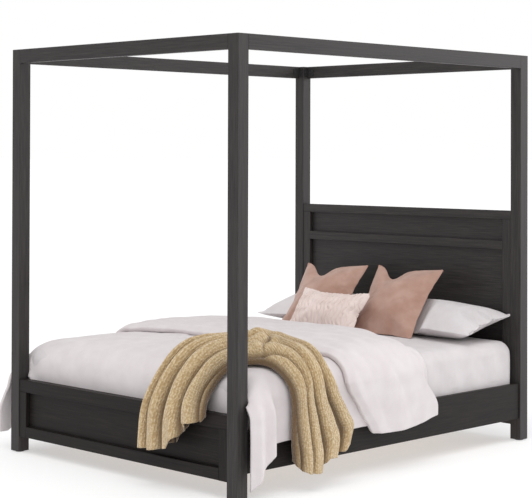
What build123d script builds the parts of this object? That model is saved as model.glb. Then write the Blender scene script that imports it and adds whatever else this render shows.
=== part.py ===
from build123d import *
import math
import os

# Four poster canopy bed, queen size, dressed with a mattress and bedding.
# Millimetres. The origin is on the floor under the middle of the bed,
# +X is the side on the right of a person at the foot, +Y points to the headboard, +Z is up.

# --- driving dimensions -------------------------------------------------------------
WIDTH = 1670            # over the posts
LENGTH = 2170           # over the posts
HEIGHT = 2060           # floor to canopy
POST = 66               # square section of a post
GLIDE = 5               # thickness of the glide under a post
EASE = 2                # chamfer on every outer wooden edge

CANOPY_RAIL_HEIGHT = 70
CANOPY_RAIL_THICKNESS = 30

SIDE_RAIL_BOTTOM = 118
SIDE_RAIL_TOP = 305
SIDE_RAIL_THICKNESS = 27
SIDE_RAIL_SETBACK = 8   # from the outer face of the posts

FOOTBOARD_BOTTOM = 82
FOOTBOARD_TOP = 373
FOOTBOARD_THICKNESS = 48
FOOTBOARD_SETBACK = 4
FOOTBOARD_TOP_RAIL = 62
BOTTOM_RAIL = 54

HEADBOARD_TOP = 1226
HEADBOARD_THICKNESS = 40
HEADBOARD_SETBACK = 4
HEADBOARD_TOP_RAIL = 47
HEADBOARD_MID_RAIL = 48
HEADBOARD_MID_RAIL_TOP = 1063

STILE = 56
PANEL_THICKNESS = 12
PANEL_RECESS = 25
TONGUE = 8              # how far a panel enters its grooves

SLATS = 10
SLAT_WIDTH = 90
SLAT_THICKNESS = 19
SLAT_PITCH = 200
SLAT_HALF_LENGTH = 794
CLEAT_WIDTH = 20
CLEAT_HEIGHT = 36
CLEAT_TOP = 204
CLEAT_END_GAP = 105     # room for the hook brackets at the ends of the rails

BEAM_WIDTH = 45
BEAM_HEIGHT = 70
LEG_SIDE = 45
LEG_BOTTOM = 25
LEG_PITCH = 650
LEG_FOOT_RADIUS = 20
LEG_FOOT_THICKNESS = 8
STUD_RADIUS = 4
STUD_TOP = 60
LEG_FOOT_TRAVEL = 12

DOWEL_RADIUS = 5
DOWEL_HALF = 25
SCREW_RADIUS = 3
SCREW_LENGTH = 22
SCREW_HEAD_RADIUS = 6
SCREW_HEAD = 3
STEEL = 3               # sheet of the brackets

MATTRESS_HALF_WIDTH = 790
MATTRESS_FOOT = -1014
MATTRESS_HEAD = 1017
MATTRESS_BOTTOM = 224
MATTRESS_TOP = 528

DUVET_TOP = 585
DUVET_FOOT = -1012      # where its full width ends, just before the foot posts
DUVET_HEAD = 225
DUVET_HEM = 240
TUCK_BOTTOM = 340       # lower edge of the part tucked in behind the footboard
TUCK_THICKNESS = 15
SHEET_THICKNESS = 18    # hanging sides of the duvet and the throw
FOLD_TOP = 625
FOLD_FRONT = -400
FOLD_REAR = 262
FOLD_HEM = 205
CORNER_DROP = [(-1050, 500), (-1050, 60), (-905, 128), (-868, DUVET_HEM)]   # Y and Z

THROW_FOOT_X = (215, 650)               # strip over the footboard
THROW_SIDE_Y = (-805, -405)             # strip down the right side
THROW_THICKNESS = 24
THROW_FOOT_HEM = 165
THROW_SIDE_HEM = 110

CUSHION_LEAN = 38       # degrees back from upright
CUSHION_SIDE = 444
CUSHION_THICKNESS = 100
CUSHION_PLACES = {"left": (-372, 765), "right": (170, 765)}     # middles on X and Y
LUMBAR_PLACE = (-153, 568)
LUMBAR_WIDTH = 490
LUMBAR_HEIGHT = 286
LUMBAR_THICKNESS = 80
PILLOW_SPAN = (60, 805)                 # on X, from the middle outwards
PILLOW_PROFILE = [(712, 531), (1008, 531), (1008, 722), (856, 722), (712, 545)]     # Y and Z

# --- lines that the parts share -----------------------------------------------------
X_OUT = WIDTH / 2
Y_OUT = LENGTH / 2
X_IN = X_OUT - POST                     # inner faces of the posts
Y_IN = Y_OUT - POST
RAIL_X_OUT = X_OUT - SIDE_RAIL_SETBACK  # outer face of a side rail
RAIL_X_IN = RAIL_X_OUT - SIDE_RAIL_THICKNESS
FOOT_FACE = -Y_OUT + FOOTBOARD_SETBACK  # face of the footboard that looks away from the bed
FOOT_INNER = FOOT_FACE + FOOTBOARD_THICKNESS
HEAD_FACE = Y_IN + HEADBOARD_SETBACK    # face of the headboard that looks at the mattress
HEAD_BACK = HEAD_FACE + HEADBOARD_THICKNESS
CANOPY_BOTTOM = HEIGHT - CANOPY_RAIL_HEIGHT
BEAM_BOTTOM = CLEAT_TOP - BEAM_HEIGHT
LEG_POSITIONS = [-LEG_PITCH, 0, LEG_PITCH]
SLAT_POSITIONS = [(i - (SLATS - 1) / 2) * SLAT_PITCH for i in range(SLATS)]
FOOT_DOWELS_Y = FOOT_FACE + FOOTBOARD_THICKNESS / 2
HEAD_DOWELS_Y = HEAD_FACE + HEADBOARD_THICKNESS / 2
FOOT_DOWELS_Z = [100, 120, 331, 353]
HEAD_DOWELS_Z = [100, 120, 1190, 1214]
CANOPY_DOWELS_Z = [CANOPY_BOTTOM + 18, HEIGHT - 18]
CANOPY_MID = CANOPY_RAIL_THICKNESS / 2
HOOK_LEVELS = [165, 245]                # middles of the two hooks on a side rail's end
HOOK_HEIGHT = 20
HOOK_REACH = 12
HOOK_PLATE_LENGTH = 90
HOOK_PLATE_Z = (140, 270)
HOOK_LIP = 6
SLOT_Z = (-20, 14)                      # a slot's ends from the middle of its hook
POST_PLATE_Z = (135, 275)
POST_PLATE_HALF = 10
SIDES = {"left": -1, "right": 1}
ENDS = {"foot": -1, "head": 1}
ALONG = {"x": Vector(1, 0, 0), "y": Vector(0, 1, 0), "z": Vector(0, 0, 1)}
ALONG_AXIS = {"x": Axis.X, "y": Axis.Y}

os.makedirs("parts", exist_ok=True)


# --- small shapes -------------------------------------------------------------------
def block(x, y, z):
    """A box between two values on each axis, given in either order."""
    middle = Vector((x[0] + x[1]) / 2, (y[0] + y[1]) / 2, (z[0] + z[1]) / 2)
    return Pos(middle) * Box(abs(x[1] - x[0]), abs(y[1] - y[0]), abs(z[1] - z[0]))


def rod(start, axis, length, radius):
    """A round bar from start along x, y or z; a negative length runs the other way."""
    direction = ALONG[axis] * (1 if length > 0 else -1)
    seat = Plane(origin=start, z_dir=direction)
    return seat * Cylinder(radius, abs(length), align=(Align.CENTER, Align.CENTER, Align.MIN))


def eased(board, long_axis):
    """A board with the edges along its grain chamfered."""
    return chamfer(board.edges().filter_by(long_axis), EASE)


def cut(body, tools):
    """A body with every tool taken away."""
    for tool in tools:
        body = body - tool
    return body


def save(name, solids):
    """Write one node: one solid, or a group of separate identical pieces."""
    shape = solids[0] if len(solids) == 1 else Compound(children=list(solids))
    export_step(shape, f"parts/{name}.step")


# --- dowels -------------------------------------------------------------------------
def board_dowel_seats(end):
    """Places of the dowels between one end board and its two posts."""
    y = FOOT_DOWELS_Y if end < 0 else HEAD_DOWELS_Y
    levels = FOOT_DOWELS_Z if end < 0 else HEAD_DOWELS_Z
    return [(side * X_IN, y, z) for side in SIDES.values() for z in levels]


def dowels_along_x():
    seats = board_dowel_seats(-1) + board_dowel_seats(1)
    for end in ENDS.values():
        y = end * (Y_OUT - CANOPY_MID)
        seats += [(s * X_IN, y, z) for s in SIDES.values() for z in CANOPY_DOWELS_Z]
    return [rod((x - DOWEL_HALF, y, z), "x", 2 * DOWEL_HALF, DOWEL_RADIUS) for x, y, z in seats]


def dowels_along_y():
    seats = []
    for side in SIDES.values():
        x = side * (X_OUT - CANOPY_MID)
        seats += [(x, e * Y_IN, z) for e in ENDS.values() for z in CANOPY_DOWELS_Z]
    return [rod((x, y - DOWEL_HALF, z), "y", 2 * DOWEL_HALF, DOWEL_RADIUS) for x, y, z in seats]


# --- canopy corner brackets and their screws ------------------------------------------
BRACKET_HEIGHT = (CANOPY_BOTTOM + 15, HEIGHT - 15)
BRACKET_POST_LEG = 33
BRACKET_RAIL_LEG = 50
BRACKET_SCREW_ON_POST = 18              # from the bracket's corner
BRACKET_SCREW_ON_RAIL = 34
CANOPY_RAIL_X_IN = X_OUT - CANOPY_RAIL_THICKNESS
CANOPY_RAIL_Y_IN = Y_OUT - CANOPY_RAIL_THICKNESS
BRACKET_MIDDLE = (BRACKET_HEIGHT[0] + BRACKET_HEIGHT[1]) / 2


def screw(seat, axis, way):
    """A button head screw: its head stands on the bracket and its shank runs on in -way."""
    shank = rod(seat, axis, -way * SCREW_LENGTH, SCREW_RADIUS)
    head = rod(seat, axis, way * SCREW_HEAD, SCREW_HEAD_RADIUS)
    return shank + fillet(head.edges().sort_by(ALONG_AXIS[axis])[-1 if way > 0 else 0], 1.5)



def canopy_bracket_and_screws(side, end, on_end_rail):
    """One steel angle in a top corner, with a screw into the post and one into the rail."""
    if on_end_rail:
        x, y = side * X_IN, end * CANOPY_RAIL_Y_IN
        on_post = block((x, x - side * STEEL), (y, y - end * BRACKET_POST_LEG), BRACKET_HEIGHT)
        on_rail = block((x, x - side * BRACKET_RAIL_LEG), (y, y - end * STEEL), BRACKET_HEIGHT)
        seats = [
            ((x - side * STEEL, y - end * BRACKET_SCREW_ON_POST, BRACKET_MIDDLE), "x", -side),
            ((x - side * BRACKET_SCREW_ON_RAIL, y - end * STEEL, BRACKET_MIDDLE), "y", -end),
        ]
    else:
        x, y = side * CANOPY_RAIL_X_IN, end * Y_IN
        on_post = block((x, x - side * BRACKET_POST_LEG), (y, y - end * STEEL), BRACKET_HEIGHT)
        on_rail = block((x, x - side * STEEL), (y, y - end * BRACKET_RAIL_LEG), BRACKET_HEIGHT)
        seats = [
            ((x - side * BRACKET_SCREW_ON_POST, y - end * STEEL, BRACKET_MIDDLE), "y", -end),
            ((x - side * STEEL, y - end * BRACKET_SCREW_ON_RAIL, BRACKET_MIDDLE), "x", -side),
        ]
    screws = [screw(*seat) for seat in seats]
    return cut(on_post + on_rail, screws), screws


# --- hook hardware of the side rails ---------------------------------------------------
def hook_bracket(side, end):
    """A steel plate on the inner face of a side rail with two hooks that enter the post."""
    x = (side * RAIL_X_IN, side * (RAIL_X_IN - STEEL))
    plate = block(x, (end * Y_IN, end * (Y_IN - HOOK_PLATE_LENGTH)), HOOK_PLATE_Z)
    for level in HOOK_LEVELS:
        z = (level - HOOK_HEIGHT / 2, level + HOOK_HEIGHT / 2)
        plate += block(x, (end * Y_IN, end * (Y_IN + HOOK_REACH)), z)
        lip = (z[0] - HOOK_LIP, z[0])
        plate += block(x, (end * (Y_IN + 5), end * (Y_IN + HOOK_REACH)), lip)
    return plate


def hook_screws(side, end):
    """Four screws through a hook bracket into the side rail."""
    seats = [(side * (RAIL_X_IN - STEEL), end * (Y_IN - y), z) for y in (25, 70) for z in (155, 255)]
    return [rod(s, "x", side * SCREW_LENGTH, SCREW_RADIUS) for s in seats]


def post_plate(side, end):
    """A steel plate let into a post, with a slot for each hook."""
    middle = side * (RAIL_X_IN - STEEL / 2)
    x = (middle - POST_PLATE_HALF, middle + POST_PLATE_HALF)
    y = (end * Y_IN, end * (Y_IN + STEEL))
    slot_x = (middle - 2.5, middle + 2.5)
    slots = [block(slot_x, y, (z + SLOT_Z[0], z + SLOT_Z[1])) for z in HOOK_LEVELS]
    return cut(block(x, y, POST_PLATE_Z), slots)


def post_pocket(side, end):
    """The mortise behind a post plate that the hooks turn down into."""
    middle = side * (RAIL_X_IN - STEEL / 2)
    x = (middle - POST_PLATE_HALF, middle + POST_PLATE_HALF)
    pocket = block(x, (end * Y_IN, end * (Y_IN + STEEL)), POST_PLATE_Z)
    for z in HOOK_LEVELS:
        y = (end * Y_IN, end * (Y_IN + HOOK_REACH + 4))
        pocket += block((middle - 3.5, middle + 3.5), y, (z + SLOT_Z[0], z + SLOT_Z[1]))
    return pocket


# --- end hangers of the centre beam -----------------------------------------------------
HANGER_Z = (96, CLEAT_TOP)
HANGER_FLANGE = 20
HANGER_DEPTH = 45       # how far it reaches under the beam


def beam_hanger(end):
    """A U of folded steel on an end board's bottom rail that carries the beam."""
    face = FOOT_INNER if end < 0 else HEAD_FACE
    half = BEAM_WIDTH / 2
    back = block((-half - HANGER_FLANGE, half + HANGER_FLANGE), (face, face - end * STEEL), HANGER_Z)
    y = (face, face - end * HANGER_DEPTH)
    tray = block((-half - STEEL, half + STEEL), y, (BEAM_BOTTOM - STEEL, BEAM_BOTTOM))
    for side in SIDES.values():
        cheek_x = (side * half, side * (half + STEEL))
        back += block(cheek_x, y, (BEAM_BOTTOM - STEEL, CLEAT_TOP))
    return cut(back + tray, hanger_screws(end))


def hanger_screws(end):
    """Two screws through each flange of a beam hanger."""
    face = FOOT_INNER if end < 0 else HEAD_FACE
    x = BEAM_WIDTH / 2 + STEEL + 9
    seats = [(side * x, face - end * STEEL, z) for side in SIDES.values() for z in (106, 124)]
    return [rod(s, "y", end * SCREW_LENGTH, SCREW_RADIUS) for s in seats]


# --- screws that hold the slats and cleats ----------------------------------------------
def slat_screws():
    seats = [
        (side * (RAIL_X_IN - CLEAT_WIDTH / 2), y, CLEAT_TOP + SLAT_THICKNESS)
        for side in SIDES.values() for y in SLAT_POSITIONS
    ]
    return [rod(s, "z", -36, 2) for s in seats]


def cleat_screws(side):
    """Screws from a cleat into its side rail, one between each pair of slats."""
    x = side * (RAIL_X_IN - CLEAT_WIDTH)
    z = CLEAT_TOP - CLEAT_HEIGHT / 2
    gaps = [y + SLAT_PITCH / 2 for y in SLAT_POSITIONS[:-1]]
    return [rod((x, y, z), "x", side * 38, 2) for y in gaps]


# --- posts and canopy ---------------------------------------------------------------------
def post_glide(side, end):
    """A nylon disc with a nail, driven into the bottom of a post."""
    x, y = side * (X_OUT - POST / 2), end * (Y_OUT - POST / 2)
    return rod((x, y, 0), "z", GLIDE, 22) + rod((x, y, GLIDE), "z", 20, 2)


def make_posts(dowels, screws, glides):
    for end_name, end in ENDS.items():
        for side_name, side in SIDES.items():
            body = block((side * X_IN, side * X_OUT), (end * Y_IN, end * Y_OUT), (GLIDE, HEIGHT))
            body = chamfer(body.edges().filter_by(Axis.Z) + body.edges().group_by(Axis.Z)[-1], EASE)
            box = body.bounding_box()
            near = [t for t in dowels + screws + glides if touches(t.bounding_box(), box)]
            body = cut(body, near + [post_pocket(side, end)])
            save(f"post_{end_name}_{side_name}", [body])


def touches(a, b):
    """Whether two bounding boxes overlap."""
    pairs = zip(tuple(a.min), tuple(a.max), tuple(b.min), tuple(b.max))
    return all(a0 < b1 and b0 < a1 for a0, a1, b0, b1 in pairs)


def drilled(body, tools):
    """A body with the bores of the fasteners that reach it."""
    box = body.bounding_box()
    return cut(body, [t for t in tools if touches(t.bounding_box(), box)])


def make_canopy_rails(fasteners):
    z = (CANOPY_BOTTOM, HEIGHT)
    for name, end in ENDS.items():
        rail = eased(block((-X_IN, X_IN), (end * Y_OUT, end * CANOPY_RAIL_Y_IN), z), Axis.X)
        save(f"canopy_rail_{name}", [drilled(rail, fasteners)])
    for name, side in SIDES.items():
        rail = eased(block((side * X_OUT, side * CANOPY_RAIL_X_IN), (-Y_IN, Y_IN), z), Axis.Y)
        save(f"canopy_rail_{name}", [drilled(rail, fasteners)])


# --- end boards: rails and stiles around recessed panels --------------------------------------
def make_end_board(name, faces, z, rails, panel_faces, fasteners):
    """Rails and stiles around floating panels.

    faces: the board's two faces on Y. z: bottom and top. rails: name, bottom and top of
    each rail, lowest first; the lowest and the middle one sit between the stiles of a
    headboard. panel_faces: the two faces of the panels on Y.
    """
    inner = X_IN - STILE
    panels = []
    for (_, _, low_top), (_, high_bottom, _) in zip(rails, rails[1:]):
        x = (-inner - TONGUE, inner + TONGUE)
        panels.append(block(x, panel_faces, (low_top - TONGUE, high_bottom + TONGUE)))
    stile_z = (z[0], rails[-1][1])
    for side_name, side in SIDES.items():
        stile = eased(block((side * X_IN, side * inner), faces, stile_z), Axis.Z)
        save(f"{name}_stile_{side_name}", [drilled(cut(stile, panels), fasteners)])
    for rail_name, bottom, top in rails:
        reach = X_IN if top == z[1] else inner
        rail = eased(block((-reach, reach), faces, (bottom, top)), Axis.X)
        save(f"{name}_{rail_name}", [drilled(cut(rail, panels), fasteners)])
    names = ["panel"] if len(panels) == 1 else ["lower_panel", "upper_panel"]
    for panel_name, panel in zip(names, panels):
        save(f"{name}_{panel_name}", [panel])


def make_end_boards(fasteners):
    panel_front = FOOT_FACE + PANEL_RECESS
    make_end_board(
        "footboard", (FOOT_FACE, FOOT_INNER), (FOOTBOARD_BOTTOM, FOOTBOARD_TOP),
        [("bottom_rail", FOOTBOARD_BOTTOM, FOOTBOARD_BOTTOM + BOTTOM_RAIL),
         ("top_rail", FOOTBOARD_TOP - FOOTBOARD_TOP_RAIL, FOOTBOARD_TOP)],
        (panel_front, panel_front + PANEL_THICKNESS), fasteners,
    )
    panel_front = HEAD_FACE + PANEL_RECESS
    make_end_board(
        "headboard", (HEAD_FACE, HEAD_BACK), (FOOTBOARD_BOTTOM, HEADBOARD_TOP),
        [("bottom_rail", FOOTBOARD_BOTTOM, FOOTBOARD_BOTTOM + BOTTOM_RAIL),
         ("mid_rail", HEADBOARD_MID_RAIL_TOP - HEADBOARD_MID_RAIL, HEADBOARD_MID_RAIL_TOP),
         ("top_rail", HEADBOARD_TOP - HEADBOARD_TOP_RAIL, HEADBOARD_TOP)],
        (panel_front, panel_front + PANEL_THICKNESS), fasteners,
    )


# --- side rails, cleats, slats, beam, legs -----------------------------------------------------
def make_base(fasteners):
    for name, side in SIDES.items():
        x = (side * RAIL_X_IN, side * RAIL_X_OUT)
        rail = eased(block(x, (-Y_IN, Y_IN), (SIDE_RAIL_BOTTOM, SIDE_RAIL_TOP)), Axis.Y)
        save(f"side_rail_{name}", [drilled(rail, fasteners)])
        cleat_x = (side * RAIL_X_IN, side * (RAIL_X_IN - CLEAT_WIDTH))
        half = Y_IN - CLEAT_END_GAP
        cleat = block(cleat_x, (-half, half), (CLEAT_TOP - CLEAT_HEIGHT, CLEAT_TOP))
        save(f"slat_cleat_{name}", [drilled(cleat, fasteners)])

    for number, y in enumerate(SLAT_POSITIONS, 1):
        x = (-SLAT_HALF_LENGTH, SLAT_HALF_LENGTH)
        z = (CLEAT_TOP, CLEAT_TOP + SLAT_THICKNESS)
        slat = eased(block(x, (y - SLAT_WIDTH / 2, y + SLAT_WIDTH / 2), z), Axis.X)
        save(f"slat_{number:02d}", [drilled(slat, fasteners)])

    half = BEAM_WIDTH / 2
    beam_y = (FOOT_INNER + STEEL + 1, HEAD_FACE - STEEL - 1)
    beam = block((-half, half), beam_y, (BEAM_BOTTOM, CLEAT_TOP))
    save("centre_beam", [drilled(beam, fasteners)])


def hanger_bolts():
    """A hanger bolt up from each centre leg into the beam."""
    return [rod((0, y, BEAM_BOTTOM - 30), "z", 65, STUD_RADIUS) for y in LEG_POSITIONS]


def make_centre_legs(bolts):
    half = LEG_SIDE / 2
    for number, y in enumerate(LEG_POSITIONS, 1):
        leg = eased(block((-half, half), (y - half, y + half), (LEG_BOTTOM, BEAM_BOTTOM)), Axis.Z)
        socket = rod((0, y, LEG_BOTTOM), "z", STUD_TOP + LEG_FOOT_TRAVEL + 2 - LEG_BOTTOM, STUD_RADIUS + 0.3)
        save(f"centre_leg_{number}", [drilled(leg - socket, bolts)])
        pad = rod((0, y, 0), "z", LEG_FOOT_THICKNESS, LEG_FOOT_RADIUS)
        pad = fillet(pad.edges().group_by(Axis.Z)[-1], 2)
        stud = rod((0, y, LEG_FOOT_THICKNESS), "z", STUD_TOP - LEG_FOOT_THICKNESS, STUD_RADIUS)
        save(f"levelling_foot_{number}", [pad + stud])


# --- mattress and bedding: plain closed solids -----------------------------------------------------
def make_mattress():
    y = (MATTRESS_FOOT, MATTRESS_HEAD)
    body = block((-MATTRESS_HALF_WIDTH, MATTRESS_HALF_WIDTH), y, (MATTRESS_BOTTOM, MATTRESS_TOP))
    body = fillet(body.edges().filter_by(Axis.Z), 40)
    ends = body.edges().group_by(Axis.Z)
    save("mattress", [fillet(ends[0] + ends[-1], 22)])


def side_plate(inner, y, z):
    """Two hanging sheets, one on each side of the bed."""
    return [block((s * inner, s * (inner + SHEET_THICKNESS)), y, z) for s in SIDES.values()]


def corner_drop(side):
    """The pointed corner of the duvet that hangs beside a foot post."""
    outline = [(DUVET_FOOT, DUVET_TOP), *CORNER_DROP, (CORNER_DROP[-1][0], DUVET_TOP)]
    face = Plane.YZ.offset(side * (X_OUT + 3)) * make_face(Polyline(*outline, close=True))
    return extrude(face, side * SHEET_THICKNESS)


def make_duvet():
    reach = X_OUT + 3                       # inner face of the hanging sides
    edge = reach + SHEET_THICKNESS
    foot = FOOT_INNER + 2
    z = (MATTRESS_TOP + 2, DUVET_TOP)
    body = block((-edge, edge), (DUVET_FOOT, DUVET_HEAD), z)
    between_posts = (-X_IN + 5, X_IN - 5)
    body += block(between_posts, (foot, DUVET_FOOT), z)
    body += block(between_posts, (foot, foot + TUCK_THICKNESS), (TUCK_BOTTOM, DUVET_TOP))
    for sheet in side_plate(reach, (DUVET_FOOT, DUVET_HEAD), (DUVET_HEM, DUVET_TOP)):
        body += sheet
    for side in SIDES.values():
        body += corner_drop(side)
    save("duvet", [body])

    reach = edge + 1
    edge = reach + SHEET_THICKNESS
    body = block((-edge, edge), (FOLD_FRONT, FOLD_REAR), (DUVET_TOP + 1, FOLD_TOP))
    body += block((-edge, edge), (DUVET_HEAD + 1, FOLD_REAR), (MATTRESS_TOP + 2, FOLD_TOP))
    for sheet in side_plate(reach, (FOLD_FRONT, FOLD_REAR), (FOLD_HEM, FOLD_TOP)):
        body += sheet
    save("duvet_fold", [body])


def make_throw():
    """A knit strip from over the footboard, across the duvet's corner and down the right side."""
    front = -Y_OUT - 2
    side_face = X_OUT + 3 + SHEET_THICKNESS + 2
    z = (DUVET_TOP + 3, DUVET_TOP + 3 + THROW_THICKNESS)
    body = block(THROW_FOOT_X, (front, THROW_SIDE_Y[1]), z)
    body += block((THROW_FOOT_X[0], side_face + SHEET_THICKNESS), THROW_SIDE_Y, z)
    body += block(THROW_FOOT_X, (front, front - SHEET_THICKNESS), (THROW_FOOT_HEM, z[1]))
    side_x = (side_face, side_face + SHEET_THICKNESS)
    body += block(side_x, THROW_SIDE_Y, (THROW_SIDE_HEM, z[1]))
    save("throw_blanket", [body])


def leaning_pad(width, height, thickness, place):
    """A soft pad that leans back, with its lowest line just above the mattress."""
    round_off = 0.45 * thickness
    pad = Box(width, thickness, height)
    pad = fillet(pad.edges().filter_by(Axis.X), round_off)
    pad = fillet(pad.edges().group_by(Axis.X)[0] + pad.edges().group_by(Axis.X)[-1], 20)
    lean = math.radians(CUSHION_LEAN)
    drop = (height / 2 - round_off) * math.cos(lean)
    drop += (thickness / 2 - round_off) * math.sin(lean) + round_off
    return Pos(*place, MATTRESS_TOP + 3 + drop) * Rot(-CUSHION_LEAN, 0, 0) * pad


def make_cushions():
    for name, place in CUSHION_PLACES.items():
        pad = leaning_pad(CUSHION_SIDE, CUSHION_SIDE, CUSHION_THICKNESS, place)
        save(f"cushion_{name}", [pad])
    pad = leaning_pad(LUMBAR_WIDTH, LUMBAR_HEIGHT, LUMBAR_THICKNESS, LUMBAR_PLACE)
    save("lumbar_cushion", [pad])


def make_pillows():
    start, stop = PILLOW_SPAN
    for name, side in SIDES.items():
        face = Plane.YZ.offset(side * start) * make_face(Polyline(*PILLOW_PROFILE, close=True))
        pillow = extrude(face, side * (stop - start))
        save(f"pillow_{name}", [fillet(pillow.edges().filter_by(Axis.X).sort_by(Axis.Z)[-2:], 40)])


# --- the bed -----------------------------------------------------------------------------------------
dowels = dowels_along_x() + dowels_along_y()
brackets, bracket_screws = [], []
for end in ENDS.values():
    for side in SIDES.values():
        for on_end_rail in (True, False):
            bracket, pair = canopy_bracket_and_screws(side, end, on_end_rail)
            brackets.append(bracket)
            bracket_screws += pair
corners = [(side, end) for end in ENDS.values() for side in SIDES.values()]
hook_brackets = [hook_bracket(side, end) for side, end in corners]
rail_screws = [s for side, end in corners for s in hook_screws(side, end)]
rail_screws += hanger_screws(-1) + hanger_screws(1)
glides = [post_glide(side, end) for side, end in corners]
slat_fixings = slat_screws() + cleat_screws(-1) + cleat_screws(1)
leg_bolts = hanger_bolts()
wood_fasteners = dowels + bracket_screws + rail_screws + slat_fixings + leg_bolts

make_posts(dowels, bracket_screws, glides)
make_canopy_rails(wood_fasteners)
make_end_boards(wood_fasteners)
make_base(wood_fasteners)
make_centre_legs(leg_bolts)

save("dowels", dowels)
save("canopy_brackets", brackets)
save("canopy_screws", bracket_screws)
save("rail_hook_brackets", [cut(b, hook_screws(*c)) for b, c in zip(hook_brackets, corners)])
save("post_slot_plates", [post_plate(side, end) for side, end in corners])
save("rail_screws", rail_screws)
save("beam_hangers", [beam_hanger(-1), beam_hanger(1)])
save("slat_screws", slat_fixings)
save("leg_hanger_bolts", leg_bolts)
save("post_glides", glides)

make_mattress()
make_duvet()
make_throw()
make_cushions()
make_pillows()
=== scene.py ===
"""Four poster canopy bed, dressed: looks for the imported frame.

The wooden frame, its fittings and the slats are the CAD nodes with wood, steel and nylon finishes.
The mattress, duvet, throw, pillows and cushions are modelled here as cloth and stuffed pieces.
Everything is in metres, in the frame's own axes: +X is the side on the right of a person who
stands at the foot and looks at the headboard, and +Y points to the headboard.
"""

import math

import bpy
import numpy as np
from mathutils import Matrix, Vector


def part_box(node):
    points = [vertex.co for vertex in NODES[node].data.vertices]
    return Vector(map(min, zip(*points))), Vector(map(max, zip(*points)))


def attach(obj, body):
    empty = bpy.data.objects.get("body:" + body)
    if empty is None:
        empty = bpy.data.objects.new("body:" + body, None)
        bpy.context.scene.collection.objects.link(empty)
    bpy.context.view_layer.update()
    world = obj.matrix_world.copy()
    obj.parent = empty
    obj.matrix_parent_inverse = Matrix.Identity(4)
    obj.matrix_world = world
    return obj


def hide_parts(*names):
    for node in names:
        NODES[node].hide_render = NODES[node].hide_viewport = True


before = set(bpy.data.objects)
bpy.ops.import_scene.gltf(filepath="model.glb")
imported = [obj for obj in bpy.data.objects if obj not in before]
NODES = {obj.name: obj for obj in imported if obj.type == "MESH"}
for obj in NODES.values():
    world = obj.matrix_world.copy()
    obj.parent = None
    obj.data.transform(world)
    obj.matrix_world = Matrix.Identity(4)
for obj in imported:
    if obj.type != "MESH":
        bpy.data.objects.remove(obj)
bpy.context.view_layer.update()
scene = bpy.context.scene

# --- what the frame says -------------------------------------------------------------
MATTRESS_LOW, MATTRESS_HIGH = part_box("mattress")
DUVET_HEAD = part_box("duvet")[1].y
FOOT_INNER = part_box("footboard_top_rail")[1].y
HEAD_POST_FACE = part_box("post_head_right")[0].y
FOOT_POST_LOW, FOOT_POST_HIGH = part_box("post_foot_right")

# --- sizes of the bedding -------------------------------------------------------------
CLOTH_STEP = 0.012          # spacing of a cloth's rows and columns
SHOULDER = 0.130            # radius where the duvet turns down over the mattress edge
HANG_X = 0.846              # outer surface of the hanging duvet
FLARE_X = 0.930             # and the furthest out that its folds may stand
DUVET_TOP = 0.590
CROWN = 0.024               # how much higher its middle is than its sides
TUCK_END = 0.345            # the duvet goes down inside the footboard to here
FOOT_BULGE = 0.200          # how far before the footboard the top begins to fall
FOLD_LIFT = 0.034           # height of the turned-back part's surface above the duvet's
PRESSURE = 5.0              # air pressure that fills a sewn pouch
SETTLE = 20                 # frames that it is given to fill
PULL = 1.6                  # how fast a pouch's outline pulls in as it fills
LEAN = math.radians(38)     # how far the loose cushions lean back from upright

# --- light and camera -------------------------------------------------------------------
ROOM_LIGHT = 0.63           # even light of the room, where white cloth is 1
FLOOR_GLOW = 0.45           # share of the floor's white that no shadow takes away
LAMPS = {                   # strength, spread in degrees, and where each soft lamp stands
    "soft_overhead": (1.42, 55, (0.30, -0.30, 1.0)),
    "soft_rear_right": (0.98, 35, (0.40, 0.88, 0.20)),
}
LENS, RISE = 103.85, -0.2064            # focal length in millimetres, and vertical shift
EYE = (5.664, -5.758, 1.528)
LOOKS_ALONG = (-0.70576, 0.70839, 0.00963)
ROLL = math.radians(-0.17)
FAR_AWAY = 600              # size of the floor, and how far the camera sees


# --- small sums -------------------------------------------------------------------------
def ease(a, b, x):
    """0 before a, 1 after b, and smooth between them; a may be above b."""
    t = np.clip((np.asarray(x, float) - a) / (b - a), 0, 1)
    return t * t * (3 - 2 * t)


def ripple(x, y, seed, terms=7, longest=0.5, shortest=0.12):
    """A smooth random height from -1 to 1 over a plane: a few sine waves in random directions."""
    rng = np.random.default_rng(seed)
    total, weight = 0.0, 0.0
    for _ in range(terms):
        wave = rng.uniform(shortest, longest)
        turn, shift = rng.uniform(0, 2 * math.pi, 2)
        size = wave / longest
        total = total + size * np.sin(
            2 * math.pi * (x * math.cos(turn) + y * math.sin(turn)) / wave + shift
        )
        weight += size
    return total / weight


def through(points, t):
    """Points of a smooth Catmull-Rom line through the given ones, at t from 0 to 1."""
    p = np.array(points, float)
    p = np.vstack([2 * p[0] - p[1], p, 2 * p[-1] - p[-2]])
    spans = len(p) - 3
    x = np.clip(np.asarray(t, float), 0, 1) * spans
    i = np.minimum(x.astype(int), spans - 1)
    f = (x - i)[..., None]
    a, b, c, d = p[i], p[i + 1], p[i + 2], p[i + 3]
    return 0.5 * (
        2 * b
        + (c - a) * f
        + (2 * a - 5 * b + 4 * c - d) * f**2
        + (3 * b - a - 3 * c + d) * f**3
    )


def evenly(points, count):
    """A smooth line through the points as count points an even distance apart."""
    fine = through(points, np.linspace(0, 1, 600))
    run = np.concatenate([[0], np.cumsum(np.linalg.norm(np.diff(fine, axis=0), axis=1))])
    want = np.linspace(0, run[-1], count)
    return np.stack([np.interp(want, run, fine[:, k]) for k in range(fine.shape[1])], 1)


# --- mesh work ----------------------------------------------------------------------------
def only(obj):
    """Make obj the one selected and active object."""
    bpy.ops.object.select_all(action="DESELECT")
    obj.select_set(True)
    bpy.context.view_layer.objects.active = obj


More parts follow.
